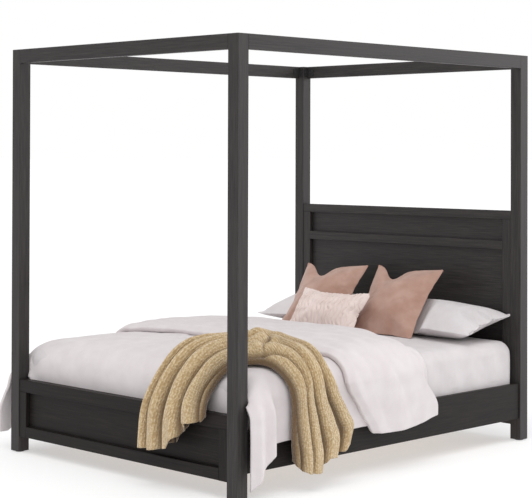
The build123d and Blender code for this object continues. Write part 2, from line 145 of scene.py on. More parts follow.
def modify(obj, kind, **settings):
    """Add a modifier with its settings and apply it."""
    only(obj)
    m = obj.modifiers.new(kind.title(), kind)
    for key, value in settings.items():
        setattr(m, key, value)
    bpy.ops.object.modifier_apply(modifier=m.name)


def cloth_grid(name, columns, rows):
    """A flat grid of columns by rows points, ready for its points to be placed, with a UV map."""
    bpy.ops.object.select_all(action="DESELECT")
    bpy.ops.mesh.primitive_grid_add(
        x_subdivisions=columns - 1, y_subdivisions=rows - 1, size=1
    )
    obj = bpy.context.object
    obj.name = obj.data.name = name
    return obj


def put(obj, co):
    """Move all of obj's points to co, a grid or list of positions."""
    obj.data.vertices.foreach_set("co", np.asarray(co, np.float32).ravel())
    obj.data.update()


def points_of(obj):
    co = np.zeros(len(obj.data.vertices) * 3, np.float32)
    obj.data.vertices.foreach_get("co", co)
    return co.reshape(-1, 3).astype(float)


def size_uv(obj, width, length):
    """Make the UV map's unit one metre, for a cloth of that flat size."""
    uv = obj.data.uv_layers.active.data
    flat = np.zeros(len(uv) * 2, np.float32)
    uv.foreach_get("uv", flat)
    flat = flat.reshape(-1, 2) * [width, length]
    uv.foreach_set("uv", flat.ravel().astype(np.float32))


def shade(obj):
    only(obj)
    bpy.ops.object.shade_smooth()


def face_out(obj):
    """Turn all faces of a closed mesh outwards."""
    only(obj)
    bpy.ops.object.mode_set(mode="EDIT")
    bpy.ops.mesh.select_all(action="SELECT")
    bpy.ops.mesh.normals_make_consistent(inside=False)
    bpy.ops.object.mode_set(mode="OBJECT")


# --- materials ------------------------------------------------------------------------------
def colour(code):
    """A linear colour from an sRGB hex value."""
    parts = [int(code[i : i + 2], 16) / 255 for i in (1, 3, 5)]
    return [p / 12.92 if p <= 0.04045 else ((p + 0.055) / 1.055) ** 2.4 for p in parts] + [1]


def node(tree, kind, inputs=None, **settings):
    """Add a node with its settings; each input is a value or another node's output."""
    made = tree.nodes.new(kind)
    for key, value in settings.items():
        setattr(made, key, value)
    for key, value in (inputs or {}).items():
        if isinstance(value, bpy.types.NodeSocket):
            tree.links.new(value, made.inputs[key])
        else:
            made.inputs[key].default_value = value
    return made


def finish_named(name):
    """A new material with an empty node tree but for its output and main shader."""
    material = bpy.data.materials.new(name)
    material.use_nodes = True
    tree = material.node_tree
    tree.nodes.clear()
    surface = tree.nodes.new("ShaderNodeBsdfPrincipled")
    out = tree.nodes.new("ShaderNodeOutputMaterial")
    tree.links.new(surface.outputs[0], out.inputs[0])
    return material, tree, surface


def stained_wood(name, grain, deep, pale, pore, gloss):
    """Rubberwood with an ebony stain under a thin satin lacquer. The stain is near black and a
    little warm. Open pores hold less of it and show as paler streaks along the grain, drawn 4.5 mm
    apart and 160 mm long, coarser than the real 1 mm so that they show. Growth bands 30 mm wide
    and 0.9 m long make slow changes of tone."""
    material, tree, surface = finish_named(name)
    place = node(tree, "ShaderNodeTexCoord").outputs["Object"]
    across, along = 1 / 0.0045, 1 / 0.16
    stretch = [along if axis == grain else across for axis in "xyz"]
    pores = node(
        tree,
        "ShaderNodeTexNoise",
        {
            "Vector": node(
                tree, "ShaderNodeMapping", {"Vector": place, "Scale": stretch}
            ).outputs[0],
            "Scale": 1.0,
            "Detail": 5.0,
            "Roughness": 0.62,
        },
    ).outputs[0]
    across, along = 1 / 0.03, 1 / 0.9
    stretch = [along if axis == grain else across for axis in "xyz"]
    bands = node(
        tree,
        "ShaderNodeTexNoise",
        {
            "Vector": node(
                tree, "ShaderNodeMapping", {"Vector": place, "Scale": stretch}
            ).outputs[0],
            "Scale": 1.0,
            "Detail": 2.0,
            "Distortion": 0.6,
        },
    ).outputs[0]
    streak = node(
        tree,
        "ShaderNodeMapRange",
        {"Value": pores, "From Min": 0.42, "From Max": 0.68},
    ).outputs[0]
    tone = node(
        tree, "ShaderNodeMapRange", {"Value": bands, "From Min": 0.3, "From Max": 0.7}
    ).outputs[0]
    board = node(
        tree,
        "ShaderNodeMix",
        {0: tone, 6: colour(deep), 7: colour(pale)},
        data_type="RGBA",
    ).outputs[2]
    streaked = node(
        tree,
        "ShaderNodeMix",
        {0: streak, 6: board, 7: colour(pore)},
        data_type="RGBA",
    ).outputs[2]
    tree.links.new(streaked, surface.inputs["Base Color"])
    rough = node(
        tree,
        "ShaderNodeMapRange",
        {"Value": pores, "From Min": 0.35, "From Max": 0.7, "To Min": 0.42, "To Max": 0.58},
    ).outputs[0]
    tree.links.new(rough, surface.inputs["Roughness"])
    bump = node(
        tree,
        "ShaderNodeBump",
        {"Height": pores, "Strength": 0.35, "Distance": 0.0012},
    ).outputs[0]
    tree.links.new(bump, surface.inputs["Normal"])
    surface.inputs["IOR"].default_value = 1.5
    surface.inputs["Specular IOR Level"].default_value = gloss
    return material


def raw_pine(name, grain):
    """Planed, unfinished pine for what the mattress hides: straw coloured, with darker late wood
    every 12 mm, 0.5 m long, and a dry, matt face."""
    material, tree, surface = finish_named(name)
    place = node(tree, "ShaderNodeTexCoord").outputs["Object"]
    stretch = [1 / 0.5 if axis == grain else 1 / 0.012 for axis in "xyz"]
    rings = node(
        tree,
        "ShaderNodeTexNoise",
        {
            "Vector": node(
                tree, "ShaderNodeMapping", {"Vector": place, "Scale": stretch}
            ).outputs[0],
            "Scale": 1.0,
            "Detail": 3.0,
            "Distortion": 0.4,
        },
    ).outputs[0]
    late = node(
        tree, "ShaderNodeMapRange", {"Value": rings, "From Min": 0.4, "From Max": 0.65}
    ).outputs[0]
    wood = node(
        tree,
        "ShaderNodeMix",
        {0: late, 6: colour("#dcbf90"), 7: colour("#b98a55")},
        data_type="RGBA",
    ).outputs[2]
    tree.links.new(wood, surface.inputs["Base Color"])
    bump = node(
        tree, "ShaderNodeBump", {"Height": rings, "Strength": 0.3, "Distance": 0.0006}
    ).outputs[0]
    tree.links.new(bump, surface.inputs["Normal"])
    surface.inputs["Roughness"].default_value = 0.62
    return material


def zinc_plate(name):
    """Zinc-plated steel: a pale grey metal, cloudy where it was passivated, 8 mm across."""
    material, tree, surface = finish_named(name)
    place = node(tree, "ShaderNodeTexCoord").outputs["Object"]
    cloud = node(
        tree, "ShaderNodeTexNoise", {"Vector": place, "Scale": 1 / 0.008, "Detail": 4.0}
    ).outputs[0]
    metal = node(
        tree,
        "ShaderNodeMix",
        {0: cloud, 6: colour("#8e9194"), 7: colour("#b9bab6")},
        data_type="RGBA",
    ).outputs[2]
    tree.links.new(metal, surface.inputs["Base Color"])
    dull = node(
        tree, "ShaderNodeMapRange", {"Value": cloud, "To Min": 0.28, "To Max": 0.5}
    ).outputs[0]
    tree.links.new(dull, surface.inputs["Roughness"])
    surface.inputs["Metallic"].default_value = 1.0
    return material


def powder_coat(name):
    """Black powder-coated steel: a dark satin paint with an orange peel 1.5 mm across."""
    material, tree, surface = finish_named(name)
    place = node(tree, "ShaderNodeTexCoord").outputs["Object"]
    peel = node(
        tree, "ShaderNodeTexNoise", {"Vector": place, "Scale": 1 / 0.0015, "Detail": 1.0}
    ).outputs[0]
    paint = node(
        tree,
        "ShaderNodeMix",
        {0: peel, 6: colour("#1f1e1e"), 7: colour("#2b2a2a")},
        data_type="RGBA",
    ).outputs[2]
    tree.links.new(paint, surface.inputs["Base Color"])
    bump = node(
        tree, "ShaderNodeBump", {"Height": peel, "Strength": 0.3, "Distance": 0.0004}
    ).outputs[0]
    tree.links.new(bump, surface.inputs["Normal"])
    surface.inputs["Roughness"].default_value = 0.5
    return material


def moulded_nylon(name):
    """Injection-moulded black nylon: dark, satin, with a spark-eroded texture 0.8 mm across."""
    material, tree, surface = finish_named(name)
    place = node(tree, "ShaderNodeTexCoord").outputs["Object"]
    grit = node(
        tree, "ShaderNodeTexNoise", {"Vector": place, "Scale": 1 / 0.0008, "Detail": 2.0}
    ).outputs[0]
    plastic = node(
        tree,
        "ShaderNodeMix",
        {0: grit, 6: colour("#19191a"), 7: colour("#262627")},
        data_type="RGBA",
    ).outputs[2]
    tree.links.new(plastic, surface.inputs["Base Color"])
    bump = node(
        tree, "ShaderNodeBump", {"Height": grit, "Strength": 0.25, "Distance": 0.0003}
    ).outputs[0]
    tree.links.new(bump, surface.inputs["Normal"])
    surface.inputs["Roughness"].default_value = 0.48
    surface.inputs["IOR"].default_value = 1.53
    return material


def woven_cotton(name, light, dark, thread, crinkle, crinkle_size, sheen=0.25):
    """Plain woven cloth with a soft, dry surface and a little bloom at its edges. thread is the
    drawn spacing of its threads in metres, coarser than the real 0.4 mm so that it shows. crinkle
    is the height of the small creases that ironing leaves, and crinkle_size their spacing. Slow
    changes of tone are 90 mm across."""
    material, tree, surface = finish_named(name)
    coordinates = node(tree, "ShaderNodeTexCoord")
    flat, place = coordinates.outputs["UV"], coordinates.outputs["Object"]
    warp = node(
        tree,
        "ShaderNodeTexWave",
        {"Vector": flat, "Scale": 0.314 / thread, "Distortion": 1.0, "Detail Scale": 40.0},
        bands_direction="X",
    ).outputs[1]
    weft = node(
        tree,
        "ShaderNodeTexWave",
        {"Vector": flat, "Scale": 0.314 / thread, "Distortion": 1.0, "Detail Scale": 40.0},
        bands_direction="Y",
    ).outputs[1]
    weave = node(
        tree, "ShaderNodeMath", {0: warp, 1: weft}, operation="ADD"
    ).outputs[0]
    slub = node(
        tree,
        "ShaderNodeTexNoise",
        {"Vector": place, "Scale": 1 / 0.09, "Detail": 3.0},
    ).outputs[0]
    crease = node(
        tree,
        "ShaderNodeTexNoise",
        {"Vector": place, "Scale": 1 / crinkle_size, "Detail": 3.0, "Roughness": 0.45},
    ).outputs[0]
    tone = node(
        tree, "ShaderNodeMapRange", {"Value": slub, "From Min": 0.3, "From Max": 0.7}
    ).outputs[0]
    cloth = node(
        tree,
        "ShaderNodeMix",
        {0: tone, 6: colour(dark), 7: colour(light)},
        data_type="RGBA",
    ).outputs[2]
    tree.links.new(cloth, surface.inputs["Base Color"])
    soft = node(
        tree,
        "ShaderNodeBump",
        {"Height": crease, "Strength": 1.0, "Distance": crinkle},
    ).outputs[0]
    threads = node(
        tree,
        "ShaderNodeBump",
        {"Height": weave, "Normal": soft, "Strength": 0.3, "Distance": thread * 0.12},
    ).outputs[0]
    tree.links.new(threads, surface.inputs["Normal"])
    surface.inputs["Roughness"].default_value = 0.86
    surface.inputs["Specular IOR Level"].default_value = 0.25
    surface.inputs["Sheen Weight"].default_value = sheen
    surface.inputs["Sheen Roughness"].default_value = 0.5
    return material


def chunky_knit(name):
    """Hand-loomed acrylic knit: soft two-ply yarn in ribs 16 mm wide with a loop every 9 mm,
    tan-gold, with painted shade: lighter on the loop tops and darker in the gaps between them, and
    a slight halo of fibre. Deep between the folds, where the attribute painted_fold_shade is 1,
    painted shade turns the yarn brown."""
    material, tree, surface = finish_named(name)
    flat = node(tree, "ShaderNodeTexCoord").outputs["UV"]
    loops = node(
        tree,
        "ShaderNodeTexVoronoi",
        {"Vector": flat, "Scale": 1 / 0.009, "Smoothness": 0.6, "Randomness": 0.75},
        feature="SMOOTH_F1",
    ).outputs[0]
    ribs = node(
        tree,
        "ShaderNodeTexWave",
        {"Vector": flat, "Scale": 0.314 / 0.016, "Distortion": 1.2, "Detail Scale": 30.0},
        bands_direction="X",
    ).outputs[1]
    round_loops = node(
        tree, "ShaderNodeMapRange", {"Value": loops, "From Max": 0.75, "To Min": 1.0, "To Max": 0.0}
    ).outputs[0]
    height = node(
        tree, "ShaderNodeMath", {0: ribs, 1: 0.30, 2: round_loops}, operation="MULTIPLY_ADD"
    ).outputs[0]
    # painted shade: the low parts of ribs and loops are darker and the loop tops lighter
    top = node(
        tree, "ShaderNodeMapRange", {"Value": height, "From Min": 0.25, "From Max": 1.15}
    ).outputs[0]
    yarn_with_loop_shade = node(
        tree,
        "ShaderNodeMix",
        {0: top, 6: colour("#b89c72"), 7: colour("#ead6b0")},
        data_type="RGBA",
    ).outputs[2]
    # painted shade: the yarn is turned brown deep between the throw's folds, where shade falls
    painted_fold_shade = node(tree, "ShaderNodeAttribute", attribute_name="painted_fold_shade").outputs["Fac"]
    yarn_with_fold_shade = node(
        tree,
        "ShaderNodeMix",
        {0: painted_fold_shade, 6: yarn_with_loop_shade, 7: colour("#6c5335")},
        data_type="RGBA",
    ).outputs[2]
    tree.links.new(yarn_with_fold_shade, surface.inputs["Base Color"])
    bump = node(
        tree, "ShaderNodeBump", {"Height": height, "Strength": 0.9, "Distance": 0.004}
    ).outputs[0]
    tree.links.new(bump, surface.inputs["Normal"])
    surface.inputs["Roughness"].default_value = 0.95
    surface.inputs["Specular IOR Level"].default_value = 0.15
    surface.inputs["Sheen Weight"].default_value = 0.4
    surface.inputs["Sheen Roughness"].default_value = 0.6
    return material


WOOD = {
    axis: stained_wood("ebony_stained_wood_" + axis, axis, "#242121", "#2f2b2b", "#403b3b", 0.34)
    for axis in "xyz"
}
SHADED_LOW_WOOD = {    # the boards near the floor: a darker, less glossy copy of the stained wood, as painted shade
    axis: stained_wood("ebony_wood_painted_shade_" + axis, axis, "#181414", "#201c1b", "#2d2827", 0.15)
    for axis in "xyz"
}
PINE = {axis: raw_pine("planed_pine_" + axis, axis) for axis in "xyz"}
STEEL = zinc_plate("zinc_plated_steel")
BLACK_STEEL = powder_coat("black_powder_coated_steel")
NYLON = moulded_nylon("moulded_black_nylon")
SHEET = woven_cotton("washed_cotton_sheet", "#d9d3d4", "#d1cbcc", 0.003, 0.0012, 0.05)
COVER = woven_cotton("brushed_cotton_cover", "#e1dadb", "#d9d1d2", 0.003, 0.0016, 0.07)
CASE = woven_cotton("cotton_pillowcase", "#dcd7d8", "#d4cecf", 0.003, 0.0012, 0.045)
ROSE = woven_cotton("rose_linen", "#bf9d8f", "#ab8575", 0.0035, 0.0008, 0.03, sheen=0.35)
BLUSH = woven_cotton("blush_ruched_cotton", "#eadad5", "#dfcdc6", 0.0035, 0.001, 0.012)
KNIT = chunky_knit("tan_chunky_knit")


def finish_frame():
    """Give every CAD node of the bed frame its finish, with the grain along the board."""
    for name, obj in NODES.items():
        low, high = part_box(name)
        size = high - low
        if name.startswith(("slat_0", "slat_1", "slat_cleat", "centre")):
            finish = PINE["xyz"[list(size).index(max(size))]]
        elif name == "post_glides" or name.startswith("levelling_foot"):
            finish = NYLON
        elif name.startswith("canopy_") and name.endswith(("brackets", "screws")):
            finish = BLACK_STEEL
        elif name.endswith(("screws", "brackets", "plates", "hangers", "bolts")):
            finish = STEEL
        elif name == "dowels":
            finish = PINE["x"]
        else:
            # the footboard and side rails, low down, take the copy darkened with painted shade
            stain_and_painted_shade = SHADED_LOW_WOOD if name.startswith(("footboard", "side_rail")) else WOOD
            finish = stain_and_painted_shade["xyz"[list(size).index(max(size))]]
        obj.data.materials.clear()
        obj.data.materials.append(finish)


# --- the bed under the bedding --------------------------------------------------------------
def bed_section(s, y, lift):
    """Where a cloth lies that is s metres from the middle of the bed along its own width, at y, and
    lift above the duvet's surface: the middle is flat and a little crowned, then the cloth turns
    down over the mattress edge and hangs. Gives x and z."""
    side, s = np.sign(s), np.abs(s)
    radius = SHOULDER + lift
    flat = HANG_X - SHOULDER
    turn = np.clip((s - flat) / radius, 0, math.pi / 2)
    hang = np.maximum(s - flat - radius * math.pi / 2, 0)
    x = np.minimum(s, flat) + radius * np.sin(turn)
    crown = CROWN * (1 - (np.minimum(s, flat) / flat) ** 3)
    z = DUVET_TOP - CROWN + crown + lift - radius * (1 - np.cos(turn)) - hang
    return side * x, z


def flat_half():
    """Distance along the cloth from its middle to where the hanging side begins."""
    return HANG_X - SHOULDER + SHOULDER * math.pi / 2


def places_across(top_half, hang_rows, left=1.0):
    """Places across a cloth: CLOTH_STEP apart over the top, and beyond it hang_rows of them down
    each side, from 0 at the shoulder to 1 at the hem, or to left on that side."""
    hang = np.linspace(1.0, 0.0, hang_rows, endpoint=False)
    top = np.linspace(-top_half, top_half, int(2 * top_half / CLOTH_STEP))
    return np.concatenate([-top_half - left * hang, top, top_half + hang[::-1]])


def make_mattress():
    """A pocket-sprung mattress in a fitted sheet: crowned top, full rounded edges, and the soft
    pulls that the sheet makes down its sides."""
    edge_radius, crown, bulge_out = 0.062, 0.016, 0.008
    rail_top, between_rails = 0.33, 0.797
    bpy.ops.object.select_all(action="DESELECT")
    middle = (MATTRESS_LOW + MATTRESS_HIGH) / 2
    size = MATTRESS_HIGH - MATTRESS_LOW
    bpy.ops.mesh.primitive_cube_add(size=1, location=(0, 0, 0))
    obj = bpy.context.object
    obj.name = obj.data.name = "fitted_sheet_mattress"
    bpy.ops.object.mode_set(mode="EDIT")
    bpy.ops.mesh.subdivide(number_cuts=84)
    bpy.ops.object.mode_set(mode="OBJECT")
    co = points_of(obj) * 2
    # finer rows near the edges, where the sheet turns
    co = np.sign(co) * (1 - (1 - np.abs(co)) ** 1.35)
    half = np.array(size) / 2
    co = co * half
    core = np.clip(co, -(half - edge_radius), half - edge_radius)
    away = co - core
    length = np.linalg.norm(away, axis=1)
    reach = np.max(np.abs(away), axis=1)
    outer = reach > 1e-6
    co[outer] = core[outer] + away[outer] / length[outer, None] * reach[outer, None]
    x, y, z = (co + np.array(middle)).T
    up = ease(-0.02, 0.10, z - middle.z)
    dome = (1 - (x / half[0]) ** 2) * (1 - 0.4 * ((y - middle.y) / half[1]) ** 2)
    z = z + up * crown * dome
    top = ease(0.40, 0.50, z)
    z = z + top * 0.004 * ripple(x, y, 3, longest=0.45, shortest=0.12)
    # the sheet's pulls: slow waves, and slanting tucks that fade towards the rails
    side = ease(half[0] - 0.05, half[0], np.abs(x)) * (1 - ease(0.47, 0.53, z))
    pull = 0.005 * ripple(y, z * 0.6, 11, longest=0.35, shortest=0.08)
    pull = pull + 0.004 * np.sin((y + 0.35 * z) * 34) * ease(0.28, 0.45, z)
    x = x + np.sign(x) * side * pull
    bulge = bulge_out * np.sin(math.pi * np.clip((z - MATTRESS_LOW.z) / size.z, 0, 1))
    x = x + np.sign(x) * bulge * ease(half[0] - 0.08, half[0], np.abs(x))
    x = np.where(z < rail_top, np.clip(x, -between_rails, between_rails), x)
    put(obj, np.stack([x, y, z], 1))
    shade(obj)
    obj.data.materials.append(SHEET)
    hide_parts("mattress")
    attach(obj, "mattress")
    return obj


def duvet_hem(y, side):
    """Height of the duvet's hem along a side: it dips to a point beside the foot post."""
    tip = 0.045 if side > 0 else 0.086
    point = tip + (0.175 - tip) * np.clip((y + 1.045) / 0.130, 0, 1)
    hem = 0.238 + 0.006 * np.sin(y * 9) + 0.004 * np.sin(y * 23 + 1)
    return point + (hem - point) * ease(-0.925, -0.862, y)


def duvet_out(y, z, side):
    """How far the hanging side stands out from its plane: soft vertical folds that deepen
    downwards, and the corner's own fold beside the post, which flares out on the left."""
    down = ease(0.52, 0.25, z)
    folds = 0.010 * ripple(y, z * 0.15, 21 if side > 0 else 22, longest=0.34, shortest=0.10)
    out = folds * down + 0.006 * down
    corner = ease(-0.868, -0.905, y)
    ridge = 0.026 * np.sin((y + 1.05) / 0.165 * math.pi * 1.6) ** 2
    out = out + corner * (0.024 + ridge) * ease(0.50, 0.36, z)
    if side < 0:
        out = out + 0.055 * ease(-0.88, -1.04, y) * ease(0.52, 0.26, z)
    return out


def make_duvet():
    """A filled duvet in a brushed cotton cover: it lies over the mattress, is tucked inside the
    footboard between the posts, and hangs outside the rails with its foot corners dropping beside
    the posts."""
    hang_rows, thickness = 30, 0.016
    top_half = flat_half()
    across = places_across(top_half, hang_rows, left=0.99)
    level_y = FOOT_INNER + FOOT_BULGE
    fall = evenly(
        [
            (level_y, DUVET_TOP),
            (level_y - 0.085, DUVET_TOP - 0.012),
            (level_y - 0.145, DUVET_TOP - 0.042),
            (level_y - 0.182, DUVET_TOP - 0.088),
            (FOOT_INNER + 0.006, DUVET_TOP - 0.145),
            (FOOT_INNER + 0.006, TUCK_END),
        ],
        34,
    )
    level = np.linspace(DUVET_HEAD - 0.01, level_y, 92)
    rows = len(level) + len(fall) - 1
    columns = len(across)
    obj = cloth_grid("duvet_cover", columns, rows)
    s = np.repeat(across[None, :], rows, 0)
    index = np.repeat(np.arange(rows)[:, None], columns, 1)
    beyond = np.maximum(index - (len(level) - 1), 0)
    y_top = np.concatenate([level, fall[1:, 0]])[index]
    sink = DUVET_TOP - np.concatenate([np.full(len(level), DUVET_TOP), fall[1:, 1]])[index]
    # the sides keep going forward, past the post, where the top has begun to fall; further on
    # the left
    side = np.sign(s)
    drop = np.clip(np.abs(s) - top_half, 0, 1)
    front = np.where(s < 0, -1.045 - 0.050 * ease(0.05, 0.60, drop), -1.042)
    y_side = level_y + (front - level_y) * beyond / (len(fall) - 1)
    y_flat = np.where(beyond > 0, y_side, y_top)
    hanging = np.abs(s) > top_half + 1e-9
    x0, z0 = bed_section(np.clip(s, -top_half, top_half), y_flat, 0.0)
    near_side = ease(HANG_X - SHOULDER - 0.06, HANG_X - 0.004, np.abs(x0))
    y = y_top + (y_flat - y_top) * near_side
    z = z0 - sink * (1 - near_side) - 0.35 * sink * near_side * ease(0.0, 0.25, sink)
    shoulder = np.where(side < 0, z[:, hang_rows][:, None], z[:, -hang_rows - 1][:, None])
    hem = np.where(side < 0, duvet_hem(y_flat, -1), duvet_hem(y_flat, 1))
    z = np.where(hanging, shoulder - drop * (shoulder - hem), z)
    # broad puffs and creases of the filling on the top
    puff = 0.007 * ripple(s, y_flat, 5, longest=0.42, shortest=0.14, terms=9)
    crease = 0.004 * ripple(s * 1.3, y_flat * 0.7, 6, longest=0.16, shortest=0.06, terms=8)
    before_fall = 1 - ease(0.12, 0.55, beyond / (len(fall) - 1))
    z = z + (puff + crease) * (~hanging) * before_fall * (1 - near_side)
    # vertical folds in the end that faces the footboard
    end_fold = ease(0.0, 0.20, sink) * (1 - near_side) * (1 - ease(0.20, 0.26, sink))
    y = y + end_fold * 0.006 * (1 + ripple(s, z * 0.2, 9, longest=0.4, shortest=0.1))
    out = np.where(side < 0, duvet_out(y_flat, z, -1), duvet_out(y_flat, z, 1))
    x = x0 + side * out * ease(0.58, 0.50, z) * near_side
    x = np.where(hanging | (near_side > 0.5), side * np.maximum(np.abs(x), np.abs(x0)), x)
    # against the rear face of the post the cloth is pressed flat
    behind_post = np.abs(x) > FOOT_POST_LOW.x - 0.006
    behind_post &= np.abs(x) < FOOT_POST_HIGH.x + 0.002
    y = np.where(behind_post, np.maximum(y, FOOT_POST_HIGH.y + 0.003), y)
    x = np.clip(x, -FLARE_X, FLARE_X)
    put(obj, np.stack([x, y, z], -1))
    size_uv(obj, 2.8, 1.5)
    obj.data.flip_normals()
    shade(obj)
    modify(obj, "SOLIDIFY", thickness=thickness, offset=-1.0, use_even_offset=False)
    shade(obj)
    obj.data.materials.append(COVER)
    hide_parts("duvet")
    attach(obj, "mattress")
    return obj


def make_fold():
    """The head end of the duvet turned back over itself: a second, puffed layer whose front edge
    lies across the bed and runs down the sides to a corner, and whose rear is the thick roll of
    the fold."""
    hang_rows, rows, thickness = 26, 58, 0.026
    top_half = flat_half() + 0.03
    across = places_across(top_half, hang_rows)
    columns = len(across)
    obj = cloth_grid("duvet_turned_back", columns, rows)
    s = np.repeat(across[None, :], rows, 0)
    # t is 0 at the front edge and 1 at the roll
    t = np.repeat(np.linspace(0, 1, rows)[:, None], columns, 1)
    side = np.sign(s)
    drop = np.clip(np.abs(s) - top_half, 0, 1)
    middle = np.clip(np.abs(s) / top_half, 0, 1)
    level = ease(1.0, 0.72, middle) * (drop == 0)
    front = -0.405 + 0.014 * ripple(s, s * 0, 18, longest=0.5, shortest=0.15)
    front = front + 0.19 * drop**1.15
    rear = 0.300 - 0.15 * ease(0.35, 1.0, middle) + 0.105 * ease(0, 0.8, drop)
    y = front + (rear - front) * t
    x, z = bed_section(np.clip(s, -top_half, top_half), y, FOLD_LIFT)
    shoulder = z[:, hang_rows][:, None]
    bow = np.sin(math.pi * t)
    hem = 0.198 + 0.036 * t - 0.02 * bow
    z = np.where(drop > 0, shoulder - drop * (shoulder - hem), z)
    lip, roll = ease(0.10, 0.0, t), ease(0.80, 1.0, t)
    puff = 0.013 * ripple(s, y, 15, longest=0.5, shortest=0.16, terms=9)
    crease = 0.005 * ripple(s * 0.6, y * 1.8, 16, longest=0.2, shortest=0.08, terms=8)
    swell = 0.016 * bow**0.5
    z = z + (swell + puff + crease - 0.013 * lip - 0.055 * roll**2) * level
    wave = np.abs(0.012 * ripple(y, z * 0.3, 17, longest=0.3, shortest=0.1))
    x = x + side * (1 - level) * (0.004 + wave * (1 - lip) - 0.010 * lip + 0.010 * bow)
    put(obj, np.stack([x, y, z], -1))
    size_uv(obj, 2.8, 0.7)
    shade(obj)
    modify(obj, "SOLIDIFY", thickness=thickness, offset=-1.0, use_even_offset=False)
    modify(obj, "SUBSURF", levels=1, render_levels=1)
    shade(obj)
    obj.data.materials.append(COVER)
    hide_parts("duvet_fold")
    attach(obj, "mattress")
    return obj


# --- the throw --------------------------------------------------------------------------------
KNIT_THICK = 0.007
THROW_FOLDS = 4             # deep folds across the gathered throw
FOLD_SIZES = (0.8, 1.05, 0.85, 1.1, 0.9, 1.12, 0.8, 1.0, 0.9)   # and their sizes, one after another
TURNED_UNDER = 0.48         # share of the throw's width that each turned-under edge takes
UNDER_LAYER = 0.004         # height of that lower layer's middle
VALLEY = 0.013              # height of the upper layer between two folds
EDGE_ROLL = 0.030           # radius of the roll where the edge turns under
THROW_OUT = 0.931           # how far out the throw may stand on the bed's side
THROW_FORWARD = -1.172      # and at its foot
# one fold's outline from valley to valley, as shares of its width and of its height
PLEAT = [
    (0, 0), (0.13, 0.08), (0.26, 0.52), (0.46, 0.94),
    (0.65, 0.98), (0.82, 0.66), (0.89, 0.15), (1, 0),
]
# Its two long edges as it lies, in metres along the cloth below it: the first number is across the
# bed from its middle, down over the right side, and the second along the bed, down over the foot.
THROW_FAR = [
    (0.255, -1.430),
    (0.272, -1.250),
    (0.300, -1.110),
    (0.330, -0.980),
    (0.340, -0.800),
    (0.345, -0.640),
    (0.375, -0.540),
    (0.450, -0.480),
    (0.570, -0.490),
    (0.700, -0.530),
    (0.780, -0.545),
    (0.850, -0.550),
    (0.930, -0.520),
    (1.000, -0.480),
    (1.080, -0.445),
    (1.160, -0.415),
    (1.270, -0.440),
]
THROW_NEAR = [
    (0.645, -1.240),
    (0.635, -1.130),
    (0.650, -1.040),
    (0.680, -0.950),
    (0.715, -0.890),
    (0.765, -0.845),
    (0.830, -0.810),
    (0.910, -0.785),
    (0.995, -0.775),
    (1.100, -0.778),
    (1.220, -0.768),
]
# height of its two hems above the floor, from the far edge to the near one
THROW_HEM_FOOT = [
    (0, 0.180), (0.25, 0.178), (0.52, 0.200), (0.57, 0.232),
    (0.73, 0.282), (0.77, 0.325), (1, 0.335),
]
THROW_HEM_SIDE = [
    (0, 0.205), (0.12, 0.160), (0.25, 0.138), (0.44, 0.140),
    (0.50, 0.092), (0.65, 0.082), (0.85, 0.088), (1, 0.125),
]
# how it goes over the foot: Y and the drop below the duvet's top
THROW_FALL = [
    (FOOT_INNER + FOOT_BULGE, 0.0),
    (FOOT_INNER + 0.110, 0.012),
    (FOOT_INNER + 0.045, 0.046),
    (FOOT_INNER + 0.002, 0.102),
    (FOOT_INNER - 0.032, 0.170),
    (FOOT_INNER - 0.058, 0.240),
    (FOOT_INNER - 0.066, 0.320),
    (FOOT_INNER - 0.066, 0.450),
]


def over_foot(r):
    """Y and the drop below the duvet's top for a cloth that goes over the footboard."""
    line = through(THROW_FALL, np.linspace(0, 1, 400))
    run = np.concatenate([[0], np.cumsum(np.linalg.norm(np.diff(line, axis=0), axis=1))])
    start = THROW_FALL[0][0]
    along = np.clip(start - r, 0, run[-1])
    y = np.where(r > start, r, np.interp(along, run, line[:, 0]))
    drop = np.interp(along, run, line[:, 1]) + np.maximum(start - r - run[-1], 0)
    return y, drop


def throw_base(place):
    """Where the throw's underside lies for places on the cloth below it."""
    s = place[..., 0]
    y, drop = over_foot(place[..., 1])
    x, z = bed_section(s, y, 0.014)
    return np.stack([x + 0.006 * ease(0.82, 0.98, s), y, z - drop], -1)


def pleat_section(first, width, tall):
    """One cut across the gathered throw, from edge to edge of its cloth: share of the strip's
    width, and height. Both long edges are turned under; between them the cloth stands in folds
    that lean a little. first says with which fold the strip begins, and with which part of it."""
    grid = np.linspace(0, 1, 160)
    shape = through(PLEAT, grid)
    p = first + np.linspace(0, THROW_FOLDS, len(grid) * THROW_FOLDS)
    part = p - np.floor(p)
    size = np.interp(p, np.arange(len(FOLD_SIZES)), FOLD_SIZES)
    across = np.floor(p) + np.interp(part, grid, shape[:, 0])
    up = np.interp(part, grid, shape[:, 1]) * tall * size
    u = (across - across[0]) / (across[-1] - across[0])
    u = u + 0.055 * np.sin(2 * math.pi * u + 2.0 * first)
    u = (u - u[0]) / (u[-1] - u[0])
    nearest = np.clip(np.minimum(u, 1 - u) * width / EDGE_ROLL, 0, 1)
    up = VALLEY + (up + 0.010) * np.sqrt(1 - (1 - nearest) ** 2)
    under = np.linspace(TURNED_UNDER, 0.0, 60)
    flat = np.full(len(under), UNDER_LAYER)
    return np.concatenate([under, u, 1 - under[::-1]]), np.concatenate([flat, up, flat])


